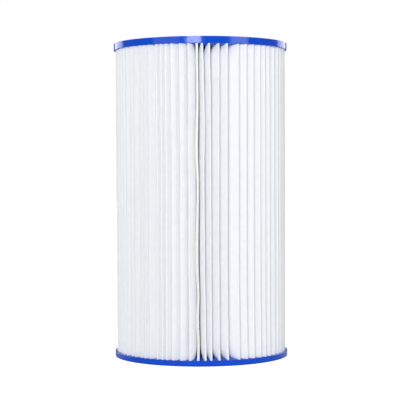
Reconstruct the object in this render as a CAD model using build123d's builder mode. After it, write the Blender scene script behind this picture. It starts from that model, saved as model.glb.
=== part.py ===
"""Pleated filter cartridge for a small pool pump.

A non-woven sheet is folded into pleats round a perforated core, its two ends are
glued together in a seam, and both ends of the pack are cast into flat end caps.
Millimetres. +Z runs along the axis, the origin is the centre of the lower cap's
outer face, and -Y is the front, where the seam is.
"""

import os
from math import asin, cos, degrees, radians, sin

from build123d import *

# Overall sizes
cartridge_length = 197.8
cap_diameter = 110.0
bore_diameter = 50.8

# End caps: one casting each, poured round the ends of the core and of the sheet
top_cap_thickness = 4.0  # it was poured a little deeper than the other
bottom_cap_thickness = 3.2
skin_thickness = 1.4  # what is cast beyond the ends of the core and the sheet
collar_height = 6.0  # the bore's wall, from the outer face to inside the core
collar_wall = 0.8
rim_margin = 1.2  # how far the cap stands out past the pleats
outer_edge_round = 1.0
inner_edge_round = 0.4
bore_edge_round = 1.0
inner_land_width = 6.0  # flat ring round the bore, which seals
outer_land_width = 5.0  # flat ring at the rim, which rests
recess_depth = 0.6
mark_count = 8  # left by the mould's stands, which hold the pack off its floor
mark_length = 8.0
mark_width = 2.4

# Core: two moulded tubes, plugged into each other at the middle
core_wall = 2.0
lap_length = 8.0
lap_clearance = 0.05
spigot_end_gap = 0.3
window_columns = 16
window_rows = 7  # in each half
window_round = 1.0
upright_width = 3.2  # left between two windows, side by side
ring_height = 2.8  # left between two windows, one above the other
end_band_height = 9.0
joint_band_height = 2.5

# Sheet: folded to and fro between the core and the rim
sheet_thickness = 0.5
fold_inside_radius = 0.2
core_to_sheet_gap = 0.2
pleat_count = 72
glue_thickness = 0.4
glue_width = 9.0
seam_angle = -92.2  # degrees round from +X

# Gaps between pleat tips, as shares of an even gap. The pleats bunch and spread beside
# the seam, where the two ends of the sheet were pulled together, and wander elsewhere.
gaps_after_seam = [0.75, 0.9, 1.15, 1.15, 1.6, 1.15, 1.15, 1.15, 0.95, 0.95, 1.2, 1.15]
gaps_before_seam = [1.05, 1.15, 1.15, 0.85, 0.65, 0.7, 1.2, 0.8, 0.75]
gap_wander = 0.22
wander_step = 2.4  # radians from one gap to the next

# Sizes that follow from those
cap_radius = cap_diameter / 2
bore_radius = bore_diameter / 2
middle = cartridge_length / 2
sheet_height = cartridge_length - 2 * skin_thickness
core_inner_radius = bore_radius + collar_wall
core_outer_radius = core_inner_radius + core_wall
core_mean_radius = core_inner_radius + core_wall / 2
lap_radius = core_mean_radius
fold_radius = fold_inside_radius + sheet_thickness / 2  # at the sheet's middle
seam_half_gap = (glue_thickness + sheet_thickness) / 2
sheet_inner_radius = core_outer_radius + core_to_sheet_gap
sheet_outer_radius = cap_radius - rim_margin
root_radius = sheet_inner_radius + sheet_thickness / 2 + fold_radius
tip_radius = sheet_outer_radius - sheet_thickness / 2 - fold_radius
even_gap = 360 / pleat_count


def pleat_tip_angles():
    """Where each pleat's tip points, in degrees from the seam, which is the first."""
    named = len(gaps_after_seam) + len(gaps_before_seam)
    others = [1 + gap_wander * sin(wander_step * k) for k in range(pleat_count - named)]
    left_over = pleat_count - sum(gaps_after_seam) - sum(gaps_before_seam)
    stretch = left_over / sum(others)
    gaps = gaps_after_seam + [g * stretch for g in others] + gaps_before_seam[::-1]
    return [even_gap * sum(gaps[:k]) for k in range(pleat_count)]


def point_round(radius, angle):
    """A point at that radius, and at that angle from the seam."""
    turn = radians(seam_angle + angle)
    return Vector(radius * cos(turn), radius * sin(turn))


# Centres of the folds' arcs. The seam is cut off square, so its tip reaches the rim's radius.
tips = [point_round(tip_radius, a) for a in pleat_tip_angles()]
tips[0] = point_round(sheet_outer_radius, 0)
roots = [point_round(root_radius, even_gap * (k + 0.5)) for k in range(pleat_count)]


def leaf(tip, root, round_tip, round_root, side):
    """The two ends of the straight run that crosses over from a tip's arc to a root's."""
    along = root - tip
    swing = degrees(asin((round_tip + round_root) / along.length))
    across = along.normalized().rotate(Axis.Z, side * (90 - swing))
    return tip + across * round_tip, root - across * round_root


def folded_face(offset):
    """The lines and arcs of one face of the sheet, offset from its middle, and its two ends."""
    at_root = fold_radius - offset
    edges = []
    ends = []
    before = None
    for k in range(pleat_count):
        following = (k + 1) % pleat_count
        at_tip = (fold_radius if k else seam_half_gap) + offset
        at_following = (fold_radius if following else seam_half_gap) + offset
        inwards = leaf(tips[k], roots[k], at_tip, at_root, -1)
        outwards = leaf(tips[following], roots[k], at_following, at_root, 1)
        if k:
            tip_top = tips[k] + tips[k].normalized() * at_tip
            edges.append(ThreePointArc(before, tip_top, inwards[0], mode=Mode.PRIVATE))
        root_floor = roots[k] - roots[k].normalized() * at_root
        edges.append(Line(*inwards, mode=Mode.PRIVATE))
        edges.append(ThreePointArc(inwards[1], root_floor, outwards[1], mode=Mode.PRIVATE))
        edges.append(Line(outwards[1], outwards[0], mode=Mode.PRIVATE))
        ends.append(inwards[0])
        before = outwards[0]
    return edges, ends[0], before


# Pleated sheet
with BuildPart() as pleated_sheet:
    with BuildSketch(Plane.XY.offset(skin_thickness)):
        with BuildLine():
            outside, outside_start, outside_end = folded_face(sheet_thickness / 2)
            inside, inside_start, inside_end = folded_face(-sheet_thickness / 2)
            add(outside + inside)
            Line(outside_start, inside_start)
            Line(outside_end, inside_end)
        make_face()
    extrude(amount=sheet_height)


def seam_face(root, side):
    """The inner face of one end of the sheet, from its cut edge to the glue's far edge."""
    at_tip = seam_half_gap - sheet_thickness / 2
    at_root = fold_radius + sheet_thickness / 2
    edge, end = leaf(tips[0], root, at_tip, at_root, side)
    return edge, edge + (end - edge).normalized() * glue_width


# Seam glue, between the sheet's two ends
with BuildPart() as seam_glue:
    with BuildSketch(Plane.XY.offset(skin_thickness)):
        with BuildLine():
            near_edge, near_end = seam_face(roots[0], -1)
            far_edge, far_end = seam_face(roots[-1], 1)
            Polyline(near_edge, near_end, far_end, far_edge, close=True)
        make_face()
    extrude(amount=sheet_height)


def window_rows_between(lowest, highest):
    """One row of windows as a short tube, and the middle of each row, to fill that span."""
    height = (highest - lowest - (window_rows - 1) * ring_height) / window_rows
    pitch = height + ring_height
    column_pitch = 2 * core_mean_radius * sin(radians(180 / window_columns))
    with BuildPart() as row:
        with BuildSketch():
            Circle(core_outer_radius)
            Circle(core_inner_radius, mode=Mode.SUBTRACT)
        extrude(amount=pitch / 2, both=True)
        with BuildSketch(Plane.YZ):
            RectangleRounded(column_pitch - upright_width, height, window_round)
        window = extrude(amount=core_outer_radius + core_wall, mode=Mode.PRIVATE)
        with PolarLocations(0, window_columns):
            add(window, mode=Mode.SUBTRACT)
    return row.part, [lowest + height / 2 + k * pitch for k in range(window_rows)]


# Core, lower half: its end band, its rows of windows, and its joint band, whose spigot goes
# up into the upper half
lower_start = skin_thickness + end_band_height
lower_stop = middle - lap_length / 2 - joint_band_height
lower_row, lower_middles = window_rows_between(lower_start, lower_stop)
with BuildPart() as core_lower_half:
    with BuildSketch(Plane.XZ):
        with BuildLine():
            Polyline(
                (core_inner_radius, skin_thickness),
                (core_outer_radius, skin_thickness),
                (core_outer_radius, lower_start - ring_height / 2),
                (core_inner_radius, lower_start - ring_height / 2),
                close=True,
            )
        make_face()
        with BuildLine():
            Polyline(
                (core_inner_radius, lower_stop + ring_height / 2),
                (core_outer_radius, lower_stop + ring_height / 2),
                (core_outer_radius, middle - lap_length / 2),
                (lap_radius - lap_clearance, middle - lap_length / 2),
                (lap_radius - lap_clearance, middle + lap_length / 2 - spigot_end_gap),
                (core_inner_radius, middle + lap_length / 2 - spigot_end_gap),
                close=True,
            )
        make_face()
    revolve(axis=Axis.Z)
    with Locations(*[(0, 0, z) for z in lower_middles]):
        add(lower_row)

# Core, upper half, whose socket stands on the lower half's shoulder
upper_start = middle + lap_length / 2 + joint_band_height
upper_stop = cartridge_length - skin_thickness - end_band_height
upper_row, upper_middles = window_rows_between(upper_start, upper_stop)
with BuildPart() as core_upper_half:
    with BuildSketch(Plane.XZ):
        with BuildLine():
            Polyline(
                (lap_radius, middle - lap_length / 2),
                (core_outer_radius, middle - lap_length / 2),
                (core_outer_radius, upper_start - ring_height / 2),
                (core_inner_radius, upper_start - ring_height / 2),
                (core_inner_radius, middle + lap_length / 2),
                (lap_radius, middle + lap_length / 2),
                close=True,
            )
        make_face()
        with BuildLine():
            Polyline(
                (core_inner_radius, upper_stop + ring_height / 2),
                (core_outer_radius, upper_stop + ring_height / 2),
                (core_outer_radius, cartridge_length - skin_thickness),
                (core_inner_radius, cartridge_length - skin_thickness),
                close=True,
            )
        make_face()
    revolve(axis=Axis.Z)
    with Locations(*[(0, 0, z) for z in upper_middles]):
        add(upper_row)


def cap_casting(thickness):
    """An end cap before the pack is cast into it, with its outer face down."""
    recess_inner_radius = bore_radius + inner_land_width
    recess_outer_radius = cap_radius - outer_land_width
    with BuildPart() as casting:
        with BuildSketch(Plane.XZ) as section:
            with BuildLine():
                Polyline(
                    (bore_radius, 0),
                    (recess_inner_radius, 0),
                    (recess_inner_radius + recess_depth, recess_depth),
                    (recess_outer_radius - recess_depth, recess_depth),
                    (recess_outer_radius, 0),
                    (cap_radius, 0),
                    (cap_radius, thickness),
                    (core_inner_radius, thickness),
                    (core_inner_radius, collar_height),
                    (bore_radius, collar_height),
                    close=True,
                )
            make_face()
            corners = section.vertices()
            fillet(corners.sort_by_distance((bore_radius, 0, 0))[0], bore_edge_round)
            fillet(corners.sort_by_distance((cap_radius, 0, 0))[0], outer_edge_round)
            fillet(corners.sort_by_distance((cap_radius, thickness, 0))[0], inner_edge_round)
        revolve(axis=Axis.Z)
        with BuildSketch(Plane.XY.offset(recess_depth)):
            with PolarLocations((recess_inner_radius + recess_outer_radius) / 2, mark_count):
                SlotOverall(mark_length, mark_width)
        extrude(amount=skin_thickness - recess_depth, mode=Mode.SUBTRACT)
    return casting.part


# Both caps, each with the room that the pack's end takes up in the casting
pack = [pleated_sheet.part, seam_glue.part]
with BuildPart() as bottom_end_cap:
    add(cap_casting(bottom_cap_thickness))
    add([*pack, core_lower_half.part], mode=Mode.SUBTRACT)

with BuildPart() as top_end_cap:
    add(cap_casting(top_cap_thickness).mirror(Plane.XY.offset(middle)))
    add([*pack, core_upper_half.part], mode=Mode.SUBTRACT)

os.makedirs("parts", exist_ok=True)
for name, built in {
    "pleated_sheet": pleated_sheet,
    "seam_glue": seam_glue,
    "core_lower_half": core_lower_half,
    "core_upper_half": core_upper_half,
    "bottom_end_cap": bottom_end_cap,
    "top_end_cap": top_end_cap,
}.items():
    built.part.label = name
    export_step(built.part, f"parts/{name}.step")
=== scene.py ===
# %% [markdown]
# # A pleated filter cartridge
#
# This is the cartridge that goes in the filter housing of a small pool pump. Water comes in
# through the pleats from all round, and leaves by the hole down the middle. There are four kinds
# of thing to look at: the folded white sheet, the glue in its seam, the white core inside, and
# the two blue end caps that everything is cast into.
#
# The engineering model is loaded first and is never moved. It has every piece at its real size,
# so this script only adds what such a model leaves out: how a folded sheet leans, bows and sways,
# how the caps' resin closed round it, and what each material looks like from close by.

from math import asin, atan2, cos, pi, radians, sin, sqrt

import bmesh
import bpy
from mathutils import Matrix, Vector, noise


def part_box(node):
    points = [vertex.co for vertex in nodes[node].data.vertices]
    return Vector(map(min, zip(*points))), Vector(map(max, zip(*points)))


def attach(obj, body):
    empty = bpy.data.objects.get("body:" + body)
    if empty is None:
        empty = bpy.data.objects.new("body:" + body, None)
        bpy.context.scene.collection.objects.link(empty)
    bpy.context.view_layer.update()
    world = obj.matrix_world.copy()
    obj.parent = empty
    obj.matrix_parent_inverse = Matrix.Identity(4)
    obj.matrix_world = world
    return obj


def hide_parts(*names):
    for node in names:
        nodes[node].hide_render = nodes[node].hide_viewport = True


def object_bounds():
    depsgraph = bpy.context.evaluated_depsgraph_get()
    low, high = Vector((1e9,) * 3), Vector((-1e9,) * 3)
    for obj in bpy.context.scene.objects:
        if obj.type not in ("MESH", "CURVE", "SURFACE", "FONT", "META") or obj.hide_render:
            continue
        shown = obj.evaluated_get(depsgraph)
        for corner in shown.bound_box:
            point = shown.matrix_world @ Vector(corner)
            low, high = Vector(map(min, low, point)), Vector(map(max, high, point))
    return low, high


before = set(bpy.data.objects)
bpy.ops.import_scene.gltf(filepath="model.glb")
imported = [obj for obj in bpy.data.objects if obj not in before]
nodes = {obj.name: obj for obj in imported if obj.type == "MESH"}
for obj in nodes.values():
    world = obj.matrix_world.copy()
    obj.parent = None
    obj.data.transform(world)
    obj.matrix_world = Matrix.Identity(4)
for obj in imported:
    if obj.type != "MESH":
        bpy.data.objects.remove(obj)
scene = bpy.context.scene
cad_low, cad_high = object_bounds()
print("CAD box in mm:", [round(1000 * side, 2) for side in cad_high - cad_low])

# %% [markdown]
# ## The sizes that the frame gives
#
# A millimetre is a handy unit for a thing this small, so it gets a name. What can be read from
# the frame is read from it: the caps' width, the core's width, and how far up and down the sheet
# goes. Only what a box can't tell, such as the sheet's thickness and the caps', is written here,
# with the same values as in the engineering model.

# %% Read the sizes
MM = 0.001

sheet_low, sheet_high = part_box("pleated_sheet")
core_low, core_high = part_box("core_lower_half")
cap_low, cap_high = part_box("bottom_end_cap")
top_cap_low, top_cap_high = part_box("top_end_cap")

CAP_RADIUS = (cap_high.x - cap_low.x) / 2
CORE_RADIUS = (core_high.x - core_low.x) / 2
SHEET_BOTTOM = sheet_low.z
SHEET_TOP = sheet_high.z
SHEET_HEIGHT = SHEET_TOP - SHEET_BOTTOM

LOWER_CAP_THICKNESS = 3.2 * MM
UPPER_CAP_THICKNESS = 4.0 * MM
SHEET_THICKNESS = 0.5 * MM
FOLD_INSIDE_RADIUS = 0.2 * MM
GLUE_THICKNESS = 0.4 * MM
RIM_MARGIN = 1.2 * MM
CORE_GAP = 0.2 * MM

LOWER_FACE = cap_low.z + LOWER_CAP_THICKNESS
UPPER_FACE = top_cap_high.z - UPPER_CAP_THICKNESS
FOLD_RADIUS = FOLD_INSIDE_RADIUS + SHEET_THICKNESS / 2
SEAM_HALF_GAP = (GLUE_THICKNESS + SHEET_THICKNESS) / 2
SHEET_RADIUS = CAP_RADIUS - RIM_MARGIN
ROOT_RADIUS = CORE_RADIUS + CORE_GAP + SHEET_THICKNESS / 2 + FOLD_RADIUS
TIP_RADIUS = SHEET_RADIUS - SHEET_THICKNESS / 2 - FOLD_RADIUS
print("pleats from", round(ROOT_RADIUS / MM, 2), "to", round(TIP_RADIUS / MM, 2), "mm from the axis")

# %% [markdown]
# ## Where the pleats point
#
# A machine folds the sheet evenly, but it is then bent into a ring by hand and its two ends are
# glued together. Beside that seam the pleats bunch and spread. So the first gaps on either side
# of the seam are given one by one, and the rest wander a little about an even gap.

# %% Work out the pleats
PLEATS = 72
SEAM_ANGLE = radians(-92.2)
EVEN_GAP = 2 * pi / PLEATS
GAPS_AFTER_SEAM = [0.75, 0.9, 1.15, 1.15, 1.6, 1.15, 1.15, 1.15, 0.95, 0.95, 1.2, 1.15]
GAPS_BEFORE_SEAM = [1.05, 1.15, 1.15, 0.85, 0.65, 0.7, 1.2, 0.8, 0.75]
GAP_WANDER = 0.22
WANDER_STEP = 2.4


def tip_angles():
    """Where each pleat's tip points, in radians from the seam, which is the first."""
    named = len(GAPS_AFTER_SEAM) + len(GAPS_BEFORE_SEAM)
    others = [1 + GAP_WANDER * sin(WANDER_STEP * k) for k in range(PLEATS - named)]
    left_over = PLEATS - sum(GAPS_AFTER_SEAM) - sum(GAPS_BEFORE_SEAM)
    stretch = left_over / sum(others)
    gaps = GAPS_AFTER_SEAM + [g * stretch for g in others] + GAPS_BEFORE_SEAM[::-1]
    return [EVEN_GAP * sum(gaps[:k]) for k in range(PLEATS)]


def point_round(radius, angle):
    """A point at that radius, and at that angle from the seam."""
    turn = SEAM_ANGLE + angle
    return Vector((radius * cos(turn), radius * sin(turn)))


tips = [point_round(TIP_RADIUS, a) for a in tip_angles()]
tips[0] = point_round(SHEET_RADIUS, 0)
roots = [point_round(ROOT_RADIUS, EVEN_GAP * (k + 0.5)) for k in range(PLEATS)]
print(PLEATS, "pleats,", round((TIP_RADIUS - ROOT_RADIUS) / MM, 1), "mm deep")

# %% [markdown]
# ## The line that the sheet follows
#
# Seen from above, the sheet is one long zigzag: a run in, a small arc round a root, a run out, a
# small arc round a tip. Two things keep it from being a star of straight spokes.
#
# The pleats lean. Clamping the seam pulled the pleats' middles towards it, on both sides, while
# their roots and tips stayed. So each tip points away from the seam, and from in front its near
# wall shows as a broad face.
#
# The pleats bow. A stiff sheet won't fold flat, so each run swells into the open V beside it
# until it nearly touches the next one, with a little room left for the sway further on, and the
# Vs are only a few millimetres deep. The glue keeps the seam's own runs flat, so the runs that
# face them swell right across. The caps hold the few Vs beside the seam straight and open, so
# there both only start a little way off the caps, and these Vs stay deeper all the way up.
#
# Each place on the line is kept with the facts that are needed later: where it is when straight,
# how far its lean and bow move it, which tip it belongs to, how far out towards that tip it is,
# from 0 at the root to 1 at the tip, and how far the caps hold it straight.

# %% Lay out the zigzag
TIP_STEPS = 4
ROOT_STEPS = 2
RUN_SHARES = [1, 0.96, 0.91, 0.85, 0.74, 0.5, 0.25, 0]
LEAN = 2.0 * MM
LEAN_STARTS = 1.5
LEAN_ENDS = 12
LEAN_BEND = 0.7
BOW_FILL = 0.98
SWAY_ROOM = 0.05 * MM
BOW_LIMIT = 5 * MM
BOW_FROM_TIP = 0.11
BOW_FROM_ROOT = 0.35
HELD_DEEPER = 0.9
HELD_OPEN = {PLEATS - 1: 0.5, 0: 1, 1: 1, 2: 1, 3: 1, 4: 0.6}


def smooth(share):
    """Eases from 0 to 1, level at both ends."""
    share = min(max(share, 0.0), 1.0)
    return share * share * (3 - 2 * share)


def run_between(tip, root, round_tip, side):
    """The two ends of the straight run that crosses over from a tip's arc to a root's."""
    along = root - tip
    swing = asin((round_tip + FOLD_RADIUS) / along.length)
    across = along.normalized()
    across.rotate(Matrix.Rotation(side * (pi / 2 - swing), 2))
    return tip + across * round_tip, root - across * FOLD_RADIUS


def arc(centre, start, end, turn, steps):
    """Points between start and end on the arc round centre, turning left if turn is 1."""
    first = start - centre
    last = end - centre
    sweep = (atan2(last.y, last.x) - atan2(first.y, first.x)) * turn % (2 * pi) * turn
    points = []
    for step in range(1, steps):
        spoke = first.copy()
        spoke.rotate(Matrix.Rotation(sweep * step / steps, 2))
        points.append(centre + spoke)
    return points


def lean(tip, share):
    """How far a pleat leans towards the seam at that share of the way out: most near halfway."""
    steps = tip if tip <= PLEATS / 2 else tip - PLEATS
    away = abs(steps)
    amount = LEAN * smooth(away / LEAN_STARTS) * smooth((PLEATS / 2 - away) / LEAN_ENDS)
    amount *= sin(pi * (1 - share) ** LEAN_BEND)
    outwards = tips[tip].normalized()
    towards_seam = Vector((outwards.y, -outwards.x)) * (1 if steps > 0 else -1)
    return towards_seam * amount


def bow(gap, tip, other_tip, share, held):
    """How far a place on a run swells into its V, towards the other run across the gap."""
    if tip == 0:
        part = 0
    elif other_tip == 0:
        part = 1
    else:
        part = 0.5
    amount = part * min(BOW_FILL * (gap.length - SHEET_THICKNESS - SWAY_ROOM), BOW_LIMIT)
    from_tip = BOW_FROM_TIP * (1 + HELD_DEEPER * held)
    amount *= smooth((1 - share) / from_tip) * smooth(share / BOW_FROM_ROOT)
    return gap.normalized() * amount


def run(root_end, tip_end):
    """(point, share) for each place along a run, from its tip to its root."""
    return [(root_end.lerp(tip_end, share), share) for share in RUN_SHARES]


def bent(here, tip, across, other_tip, share, held):
    """How far a place on a run is moved in all, by its lean and by its bow."""
    leaning = lean(tip, share)
    gap = across + lean(other_tip, share) - here - leaning
    return leaning + bow(gap, tip, other_tip, share, held)


def zigzag():
    """(point, bend, tip, share, held) for each place along the sheet, from end to end."""
    places = []
    straight = Vector((0, 0))
    before = None
    for k in range(PLEATS):
        following = (k + 1) % PLEATS
        inner, root_in = run_between(tips[k], roots[k], FOLD_RADIUS if k else SEAM_HALF_GAP, -1)
        round_next = FOLD_RADIUS if following else SEAM_HALF_GAP
        outer, root_out = run_between(tips[following], roots[k], round_next, 1)
        if k:
            places += [(p, straight, k, 1.0, 0) for p in arc(tips[k], before, inner, 1, TIP_STEPS)]
        inwards = run(root_in, inner)
        outwards = run(root_out, outer)
        held = HELD_OPEN.get(k, 0)
        for (here, share), (across, _) in zip(inwards, outwards):
            bend = bent(here, k, across, following, share, held)
            places.append((here, bend, k, share, held))
        for p in arc(roots[k], root_in, root_out, -1, ROOT_STEPS):
            places.append((p, straight, k, 0.0, held))
        for (across, _), (here, share) in zip(inwards[::-1], outwards[::-1]):
            bend = bent(here, following, across, k, share, held)
            places.append((here, bend, following, share, held))
        before = outer
    return places


places = zigzag()
lengths = [0.0]
for here, there in zip(places, places[1:]):
    lengths.append(lengths[-1] + (there[0] + there[1] - here[0] - here[1]).length)
print("the flat sheet is", round(lengths[-1], 3), "m long,", len(places), "places along it")

# %% [markdown]
# ## How the tips sway
#
# Only the two ends of the sheet are held, by the caps. In between, each pleat's tip is free to
# stand a little to one side, and its neighbours go the same way, because they touch it. Smooth
# noise gives such a sway: it takes near values for near pleats and near heights. It seldom goes
# past a half, its reach, so it is divided by that.
#
# The seam, the pleat before it and the two after it were handled most, so theirs are drawn
# as a few heights, from 0 at the bottom to 1 at the top, and the sway at each, in
# millimetres. The two after the seam were cast in a little askew, so theirs don't end at zero.

# %% Describe the sway
SWAY = 0.3 * MM
SWAY_LENGTH = 55 * MM
SWAY_ACROSS = 0.12
SWAY_SLICE = 7.5
NOISE_REACH = 0.5
HELD_LENGTH = 10 * MM
HAND_SWAY = {
    PLEATS - 1: [(0, 0), (0.21, 0.1), (0.32, -0.35), (0.55, 0.1), (0.66, -0.3), (0.81, 0.1),
                 (1, 0)],
    0: [(0, 0), (0.07, 0.3), (0.13, -0.35), (0.21, 0.35), (0.32, -0.65), (0.55, 0.3),
        (0.66, -0.55), (0.81, 0.25), (1, 0)],
    1: [(0, 1.0), (0.1, 0.8), (0.3, 0.4), (0.6, 0.2), (0.73, 0.75), (0.9, 0.1), (1, -0.4)],
    2: [(0, 0.3), (0.1, 0.25), (0.35, 0.1), (0.6, 0.15), (0.8, 0.1), (1, -0.3)],
}


def drawn(curve, height):
    """The value of a drawn curve at that height, eased from each point to the next."""
    for (low, first), (high, second) in zip(curve, curve[1:]):
        if height <= high:
            return first + (second - first) * smooth((height - low) / (high - low))
    return curve[-1][1]


def free_of_caps(z):
    """0 where a cap holds the sheet, and 1 from a little way off."""
    return smooth((z - SHEET_BOTTOM) / HELD_LENGTH) * smooth((SHEET_TOP - z) / HELD_LENGTH)


def sway(k, z):
    """How far tip k stands to its left, seen from the axis, at height z."""
    if k in HAND_SWAY:
        return drawn(HAND_SWAY[k], (z - SHEET_BOTTOM) / SHEET_HEIGHT) * MM
    place = Vector((k * SWAY_ACROSS, z / SWAY_LENGTH, SWAY_SLICE))
    return free_of_caps(z) * SWAY / NOISE_REACH * noise.noise(place)


print("seam's sway at half height, mm:", round(sway(0, SHEET_BOTTOM + SHEET_HEIGHT / 2) / MM, 2))

# %% [markdown]
# ## Small helpers
#
# A piece is a mesh made from a bmesh, with one material. It rides on the only body there is. The
# caps and the core stay as the frame has them, and are only dressed in a better material.


# %% Make the helpers for pieces
def object_from(bm, name, material):
    """Turns a bmesh into an object of one material, and puts it in the scene."""
    mesh = bpy.data.meshes.new(name)
    bm.to_mesh(mesh)
    bm.free()
    mesh.materials.append(material)
    made = bpy.data.objects.new(name, mesh)
    scene.collection.objects.link(made)
    return made


def piece_from(bm, name, material):
    """Turns a bmesh into a piece of the cartridge."""
    piece = object_from(bm, name, material)
    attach(piece, "root")
    print(name, "has", len(piece.data.polygons), "faces")
    return piece


def dress(names, surface):
    """Gives pieces of the frame a material in place of their plain one."""
    for name in names:
        nodes[name].data.materials.clear()
        nodes[name].data.materials.append(surface.material)
    print("dressed", *names)


# %% [markdown]
# Shader nodes are added by their kind, with their inputs' values given by name. A Mix node has
# inputs for numbers, vectors and colours under the same names, so the colours' are numbered.

# %% Make the helper for materials
MIX_SHARE = 0
MIX_FIRST_COLOUR = 6
MIX_SECOND_COLOUR = 7
MIXED_COLOUR = 2
WHITE = (1, 1, 1, 1)


class Surface:
    """A new material, with its Principled shader and its node tree at hand."""

    def __init__(self, name, **sockets):
        self.material = bpy.data.materials.new(name)
        self.material.use_nodes = True
        self.tree = self.material.node_tree
        self.shader = self.tree.nodes["Principled BSDF"]
        for socket, value in sockets.items():
            self.shader.inputs[socket.replace("_", " ")].default_value = value

    def node(self, kind, links=None, **sockets):
        """Adds a node, sets some inputs to values by name, and links outputs to others."""
        made = self.tree.nodes.new("ShaderNode" + kind)
        for socket, value in sockets.items():
            made.inputs[socket.replace("_", " ")].default_value = value
        for socket, output in (links or {}).items():
            self.tree.links.new(output, made.inputs[socket])
        return made

    def drive(self, socket, output):
        """Links an output to one of the shader's inputs."""
        self.tree.links.new(output, self.shader.inputs[socket])

    def object_coordinates(self):
        """Places on the piece itself, in metres, as an output."""
        return self.node("TexCoord").outputs["Object"]

    def noise(self, coordinates, **sockets):
        """A noise over those coordinates, as an output."""
        return self.node("TexNoise", {"Vector": coordinates}, **sockets).outputs["Fac"]

    def bump(self, height, strength, distance, over=None):
        """A bump, over another bump if one is given, as an output."""
        links = {"Height": height}
        if over is not None:
            links["Normal"] = over
        return self.node("Bump", links, Strength=strength, Distance=distance).outputs["Normal"]

    def range(self, output, low, high, low_in=0.3, high_in=0.7):
        """Maps a value, usually a noise's, to a range, as an output."""
        made = self.node("MapRange", {"Value": output})
        made.inputs["From Min"].default_value = low_in
        made.inputs["From Max"].default_value = high_in
        made.inputs["To Min"].default_value = low
        made.inputs["To Max"].default_value = high
        return made.outputs["Result"]

    def blend(self, share, first, second):
        """A colour that far from one colour to another, as an output."""
        made = self.tree.nodes.new("ShaderNodeMix")
        made.data_type = "RGBA"
        made.inputs[MIX_FIRST_COLOUR].default_value = (*first, 1)
        made.inputs[MIX_SECOND_COLOUR].default_value = (*second, 1)
        self.tree.links.new(share, made.inputs[MIX_SHARE])
        return made.outputs[MIXED_COLOUR]


# %% [markdown]
# ## What the sheet is made of
#
# The sheet is spun-bonded polyester: endless fine fibres, laid down at random and pressed with
# heat. It is cool white and quite matt. Held to the light it is cloudy, with thicker and thinner
# places a few millimetres across. The pattern follows the flat sheet, so it reads the sheet's own
# UV map, which is in metres along the sheet and up it.

# %% Mix the filter sheet's material
THIN_WHITE = (0.885, 0.91, 0.94)
THICK_WHITE = (0.915, 0.935, 0.96)

sheet_surface = Surface("filter_sheet", Sheen_Weight=0.15, Sheen_Roughness=0.5)
flat_map_node = sheet_surface.node("UVMap")
flat_map_node.uv_map = "FlatSheet"
on_sheet = flat_map_node.outputs["UV"]
clouds = sheet_surface.noise(on_sheet, Scale=260, Detail=5)
fibres = sheet_surface.noise(on_sheet, Scale=2600, Detail=3, Distortion=1.6)
cloudiness = sheet_surface.range(clouds, 0, 1)
sheet_surface.drive("Base Color", sheet_surface.blend(cloudiness, THIN_WHITE, THICK_WHITE))
sheet_surface.drive("Roughness", sheet_surface.range(fibres, 0.8, 0.97))
fibre_bump = sheet_surface.bump(fibres, strength=0.25, distance=0.12 * MM)
cloud_bump = sheet_surface.bump(clouds, strength=0.2, distance=0.4 * MM, over=fibre_bump)
sheet_surface.drive("Normal", cloud_bump)
print("sheet material has", len(sheet_surface.tree.nodes), "nodes")

# %% [markdown]
# ## The folded sheet
#
# The real sheet starts flat, so this one does too. A grid is made with one column for each place
# on the zigzag, and laid out at the real length and height. While it is still flat its
# coordinates are written to a UV map. Then each column is taken to its place, and the sway is
# added: all of it at a tip, and soon less of it further in. Last, a Solidify modifier gives it
# its thickness.

# %% Fold the sheet
ROWS = 32
END_ROWS = 0.5
SWAY_POWER = 4


def row_height(share):
    """The height of a row. The rows are closer near the caps, where the folds change shape."""
    share -= END_ROWS * sin(2 * pi * share) / (2 * pi)
    return SHEET_BOTTOM + share * SHEET_HEIGHT


def folded(place, z):
    """Where a place on the flat sheet goes: on the zigzag, bent, and swayed with its tip."""
    point, bend, tip, share, held = place
    outwards = tips[tip].normalized()
    sideways = Vector((-outwards.y, outwards.x))
    swayed = sideways * (sway(tip, z) * share**SWAY_POWER)
    moved = point + bend * (1 - held * (1 - free_of_caps(z))) + swayed
    return Vector((moved.x, moved.y, z))


bm = bmesh.new()
last_column = len(places) - 1
bmesh.ops.create_grid(bm, x_segments=last_column, y_segments=ROWS, size=0.5)
flat_map = bm.loops.layers.uv.new("FlatSheet")
columns = {v: round((v.co.x + 0.5) * last_column) for v in bm.verts}
for v in bm.verts:
    v.co = Vector((lengths[columns[v]], row_height(v.co.y + 0.5), 0))
for face in bm.faces:
    face.smooth = True
    for loop in face.loops:
        loop[flat_map].uv = loop.vert.co.xy
for v in bm.verts:
    v.co = folded(places[columns[v]], v.co.y)
folded_sheet = piece_from(bm, "folded_sheet", sheet_surface.material)
thicken = folded_sheet.modifiers.new("thickness", "SOLIDIFY")
thicken.thickness = SHEET_THICKNESS
thicken.offset = 0
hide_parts("pleated_sheet")

# %% [markdown]
# ## The glue in the seam
#
# The sheet's two ends lie face to face at the front, with a thin strip of hot glue between them.
# The strip starts as four corners, one pair at the sheet's cut edges and one pair further in. It
# is extruded up, cut into short lengths, and swayed with the seam.

# %% Pour the seam glue
GLUE_WIDTH = 9 * MM
GLUE_SET_BACK = 0.5 * MM
GLUE_CREAM = (0.84, 0.83, 0.8)
GLUE_WHITE = (0.9, 0.9, 0.88)

glue_surface = Surface("seam_glue")
glue_noise = glue_surface.noise(glue_surface.object_coordinates(), Scale=600, Detail=2)
glue_whiteness = glue_surface.range(glue_noise, 0, 1)
glue_surface.drive("Base Color", glue_surface.blend(glue_whiteness, GLUE_CREAM, GLUE_WHITE))
glue_surface.drive("Roughness", glue_surface.range(glue_noise, 0.2, 0.4))


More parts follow.
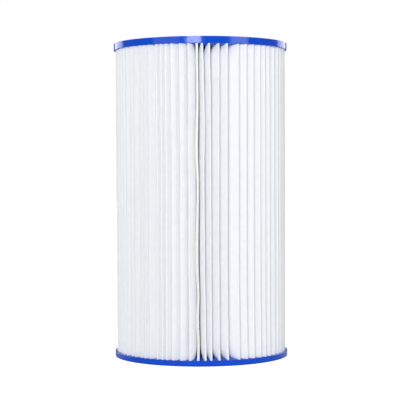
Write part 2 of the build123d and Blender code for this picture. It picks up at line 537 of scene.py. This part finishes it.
def glue_corners(root, side):
    """The glue's two corners on one end of the sheet, near the cut edge and further in."""
    edge, end = run_between(tips[0], root, SEAM_HALF_GAP, side)
    along = (end - edge).normalized()
    inner_face = Vector((along.y, -along.x)) * (side * SHEET_THICKNESS / 2)
    return edge + along * GLUE_SET_BACK - inner_face, edge + along * GLUE_WIDTH - inner_face


bm = bmesh.new()
near = glue_corners(roots[0], -1)
far = glue_corners(roots[-1], 1)
corners = [bm.verts.new((p.x, p.y, SHEET_BOTTOM)) for p in (near[0], near[1], far[1], far[0])]
base = bm.faces.new(corners)
raised = bmesh.ops.extrude_face_region(bm, geom=[base])["geom"]
top = [v for v in raised if isinstance(v, bmesh.types.BMVert)]
bmesh.ops.translate(bm, vec=(0, 0, SHEET_HEIGHT), verts=top)
for row in range(1, ROWS):
    cut = Vector((0, 0, SHEET_BOTTOM + SHEET_HEIGHT * row / ROWS))
    everything = [*bm.verts, *bm.edges, *bm.faces]
    bmesh.ops.bisect_plane(bm, geom=everything, plane_co=cut, plane_no=(0, 0, 1))
seam_outwards = tips[0].normalized()
seam_sideways = Vector((-seam_outwards.y, seam_outwards.x, 0))
for v in bm.verts:
    reach = (v.co.xy.length - ROOT_RADIUS) / (SHEET_RADIUS - ROOT_RADIUS)
    v.co += seam_sideways * (sway(0, v.co.z) * reach**SWAY_POWER)
bmesh.ops.recalc_face_normals(bm, faces=bm.faces)
glue_strip = piece_from(bm, "glue_strip", glue_surface.material)
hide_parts("seam_glue")

# %% [markdown]
# ## The end caps
#
# Each cap is cast from a two-part resin, poured into a flat mould and left to set round the end
# of the pack. The mould's floor is polished, so the blue is glossy and even, with a very slight
# ripple, and a few specks where small bubbles met the mould.

# %% Mix the caps' material
DEEP_BLUE = (0, 0.064, 0.58)
BRIGHT_BLUE = (0, 0.08, 0.7)
SPECK_EDGE = 0.08

cap_surface = Surface("cap_resin", IOR=1.45, Specular_IOR_Level=0.35)
on_cap = cap_surface.object_coordinates()
ripple = cap_surface.noise(on_cap, Scale=90, Detail=2)
specks = cap_surface.node("TexVoronoi", {"Vector": on_cap}, Scale=420).outputs["Distance"]
blueness = cap_surface.range(ripple, 0, 1)
cap_surface.drive("Base Color", cap_surface.blend(blueness, DEEP_BLUE, BRIGHT_BLUE))
cap_surface.drive("Roughness", cap_surface.range(ripple, 0.09, 0.15))
speck_depth = cap_surface.range(specks, 0, 1, low_in=0.0, high_in=SPECK_EDGE)
ripple_bump = cap_surface.bump(ripple, strength=0.15, distance=0.6 * MM)
speck_bump = cap_surface.bump(speck_depth, strength=0.2, distance=0.1 * MM, over=ripple_bump)
cap_surface.drive("Normal", speck_bump)
dress(("top_end_cap", "bottom_end_cap"), cap_surface)

# %% [markdown]
# ## Where the resin meets the pleats
#
# The caps' model has straight slots for straight pleats. These pleats lean, and the liquid resin
# closed round them wherever they stood, and was drawn in between them by half a millimetre or so.
# So a ring of the same resin is spun inside each cap. It fills the slots as far as the sheet's
# end, which just shows in the marks of the mould's stands. On the cap's inner face it is thin at
# the rim, soon thicker between the pleats, and rises a little more where it wets the core. Its
# slope near the rim is a few points: how far in from the sheet's edge, and what share of the full
# thickness it has there. The open Vs beside the seam drew in more of it, so there the ring is
# raised.

# %% Spin the resin between the pleats
EDGE_ROUND = 0.4 * MM
SKIN = 0.12 * MM
DRAWN_IN = 0.5 * MM
MORE_AT_SEAM = 2.2
RAISED_FROM = radians(-6)
RAISED_TO = radians(30)
WETTING = 0.5 * MM
PROUD = 0.05 * MM
SPIN_STEPS = 144
MERGE_WITHIN = SKIN / 100
RIM_SLOPE = [(8 * MM, 1), (3.5 * MM, 0.9), (1.5 * MM, 0.4)]


def resin_ring(name, inner_face, sheet_end):
    """A ring of resin between the pleats, from their ends in a cap to just past its face."""
    edge = CAP_RADIUS - EDGE_ROUND
    up = 1 if inner_face > sheet_end else -1
    depth = abs(inner_face - sheet_end) - PROUD
    outline = [
        (CORE_RADIUS - WETTING, -depth),
        (CORE_RADIUS - WETTING, DRAWN_IN + WETTING),
        (CORE_RADIUS + WETTING / 2, DRAWN_IN + WETTING),
        (CORE_RADIUS + 2 * WETTING, DRAWN_IN),
        *((SHEET_RADIUS - inset, share * DRAWN_IN) for inset, share in RIM_SLOPE),
        (SHEET_RADIUS, SKIN),
        (edge, SKIN / 2),
        (edge, -SKIN),
        (SHEET_RADIUS, -depth),
    ]
    bm = bmesh.new()
    ring = [bm.verts.new((radius, 0, inner_face + up * rise)) for radius, rise in outline]
    edges = [bm.edges.new(pair) for pair in zip(ring, ring[1:] + ring[:1])]
    bmesh.ops.spin(
        bm, geom=edges, cent=(0, 0, 0), axis=(0, 0, 1), dvec=(0, 0, 0), angle=2 * pi,
        steps=SPIN_STEPS, use_merge=True,
    )
    bmesh.ops.remove_doubles(bm, verts=bm.verts, dist=MERGE_WITHIN)
    for v in bm.verts:
        angle = -tips[0].angle_signed(v.co.xy)
        within = (angle - RAISED_FROM) / (RAISED_TO - RAISED_FROM)
        between_tips = min((SHEET_RADIUS - v.co.xy.length) / MM, 1)
        if 0 < within < 1 and between_tips > 0:
            more = MORE_AT_SEAM * sqrt(sin(pi * within)) * between_tips
            v.co.z += up * max(up * (v.co.z - inner_face), 0) * more
    bmesh.ops.recalc_face_normals(bm, faces=bm.faces)
    for face in bm.faces:
        face.smooth = True
    return piece_from(bm, name, cap_surface.material)


resin_ring("lower_resin_ring", LOWER_FACE, SHEET_BOTTOM)
resin_ring("upper_resin_ring", UPPER_FACE, SHEET_TOP)

# %% [markdown]
# ## The core
#
# The core's two halves are moulded in a plain white plastic. It is only seen down the hole, where
# its windows show the insides of the folds. Its finish is satin, as a mould that was sparked
# rather than polished leaves it.

# %% Mix the core's material
GREYER_WHITE = (0.74, 0.75, 0.76)
CLEANER_WHITE = (0.8, 0.81, 0.81)

core_surface = Surface("core_plastic", IOR=1.5)
on_core = core_surface.object_coordinates()
grain = core_surface.noise(on_core, Scale=1800, Detail=2)
flow = core_surface.noise(on_core, Scale=40, Detail=3)
flow_whiteness = core_surface.range(flow, 0, 1)
core_surface.drive("Base Color", core_surface.blend(flow_whiteness, GREYER_WHITE, CLEANER_WHITE))
core_surface.drive("Roughness", core_surface.range(grain, 0.35, 0.5))
core_surface.drive("Normal", core_surface.bump(grain, strength=0.2, distance=0.1 * MM))
dress(("core_lower_half", "core_upper_half"), core_surface)

# %% [markdown]
# ## The studio
#
# The cartridge stands on a plain pale floor in front of plain white. The deep gaps between
# pleats only fill with light that comes straight at them, so the main light is a wide soft box
# just left of the camera. Weaker ones at the sides put the small highlights on the caps and
# brighten the pleats that face them, and two more do the same for whoever looks from behind.
# The floor and the surroundings are dimmer than they look. At full strength they would turn the
# blue milky, and light the undersides of the round edges, which are darker lines. The standard
# view shows white as white.

# %% Lay the floor
FLOOR_RADIUS = 4.0
FLOOR_GAP = 0.1 * MM
FLOOR_SEEN = 0.9
FLOOR_LIGHT = 0.03
FLOOR_SEGMENTS = 64
PALE_GREY = (0.75, 0.75, 0.75, 1)

floor_surface = Surface("floor_paint", Roughness=0.8, Base_Color=PALE_GREY, Emission_Color=WHITE)
floor_rays = floor_surface.node("LightPath")
floor_surface.drive(
    "Emission Strength",
    floor_surface.range(floor_rays.outputs["Is Camera Ray"], FLOOR_LIGHT, FLOOR_SEEN, 0, 1),
)
bm = bmesh.new()
bmesh.ops.create_circle(bm, cap_ends=True, segments=FLOOR_SEGMENTS, radius=FLOOR_RADIUS)
bmesh.ops.translate(bm, vec=(0, 0, cad_low.z - FLOOR_GAP), verts=bm.verts)
floor = object_from(bm, "floor", floor_surface.material)
print("floor laid", FLOOR_GAP / MM, "mm below the cap")

# %% Light it
LIGHT_DISTANCE = 1.6
WORLD_SEEN = 1.0
WORLD_LIGHT = 0.27


def soft_box(name, azimuth, elevation, width, height, power):
    """A soft box aimed at the cartridge's middle. Azimuth 0 is in front, and 90 to the right."""
    data = bpy.data.lights.new(name, "AREA")
    data.shape = "RECTANGLE"
    data.size = width
    data.size_y = height
    data.energy = power
    light = bpy.data.objects.new(name, data)
    turn = radians(azimuth)
    rise = radians(elevation)
    back = Vector((sin(turn) * cos(rise), -cos(turn) * cos(rise), sin(rise)))
    light.location = (cad_low + cad_high) / 2 + back * LIGHT_DISTANCE
    light.rotation_euler = back.to_track_quat("Z", "Y").to_euler()
    scene.collection.objects.link(light)


soft_box("key_box", azimuth=-8, elevation=9, width=0.5, height=0.45, power=11)
soft_box("right_box", azimuth=52, elevation=9, width=0.7, height=0.6, power=5.5)
soft_box("left_box", azimuth=-45, elevation=9, width=1.0, height=0.6, power=2.8)
soft_box("back_right_box", azimuth=138, elevation=12, width=0.9, height=1.0, power=8)
soft_box("back_left_box", azimuth=-138, elevation=12, width=0.9, height=1.0, power=8)

world = bpy.data.worlds.new("studio")
world.use_nodes = True
backdrop = world.node_tree.nodes["Background"]
backdrop.inputs["Color"].default_value = WHITE
rays = world.node_tree.nodes.new("ShaderNodeLightPath")
brightness = world.node_tree.nodes.new("ShaderNodeMapRange")
brightness.inputs["To Min"].default_value = WORLD_LIGHT
brightness.inputs["To Max"].default_value = WORLD_SEEN
world.node_tree.links.new(rays.outputs["Is Camera Ray"], brightness.inputs["Value"])
world.node_tree.links.new(brightness.outputs["Result"], backdrop.inputs["Strength"])
scene.world = world
scene.view_settings.view_transform = "Standard"
print("lights:", len(bpy.data.lights))

# %% [markdown]
# ## The camera
#
# A long lens, a little above half height, looks almost straight at the seam. It tips down by a
# degree or so, and leans by a quarter of a degree.

# %% Place the camera
CAMERA_DISTANCE = 0.84
CAMERA_HEIGHT = 117.6 * MM
AIM_OFFSET = -0.5 * MM
AIM_DROP = 0.2 * MM
CAMERA_LEAN = radians(-0.26)
SENSOR_WIDTH = 36
FOCAL_LENGTH = 118.3

camera_data = bpy.data.cameras.new("camera")
camera_data.sensor_width = SENSOR_WIDTH
camera_data.lens = FOCAL_LENGTH
camera = bpy.data.objects.new("camera", camera_data)
camera.location = (AIM_OFFSET, -CAMERA_DISTANCE, CAMERA_HEIGHT)
middle = (cad_low.z + cad_high.z) / 2
aim = Vector((AIM_OFFSET, 0, middle - AIM_DROP)) - camera.location
camera.rotation_mode = "QUATERNION"
camera.rotation_quaternion = aim.to_track_quat("-Z", "Y")
camera.rotation_quaternion @= Matrix.Rotation(CAMERA_LEAN, 3, "Z").to_quaternion()
scene.collection.objects.link(camera)
scene.camera = camera
print("camera looks from", [round(c, 3) for c in camera.location])
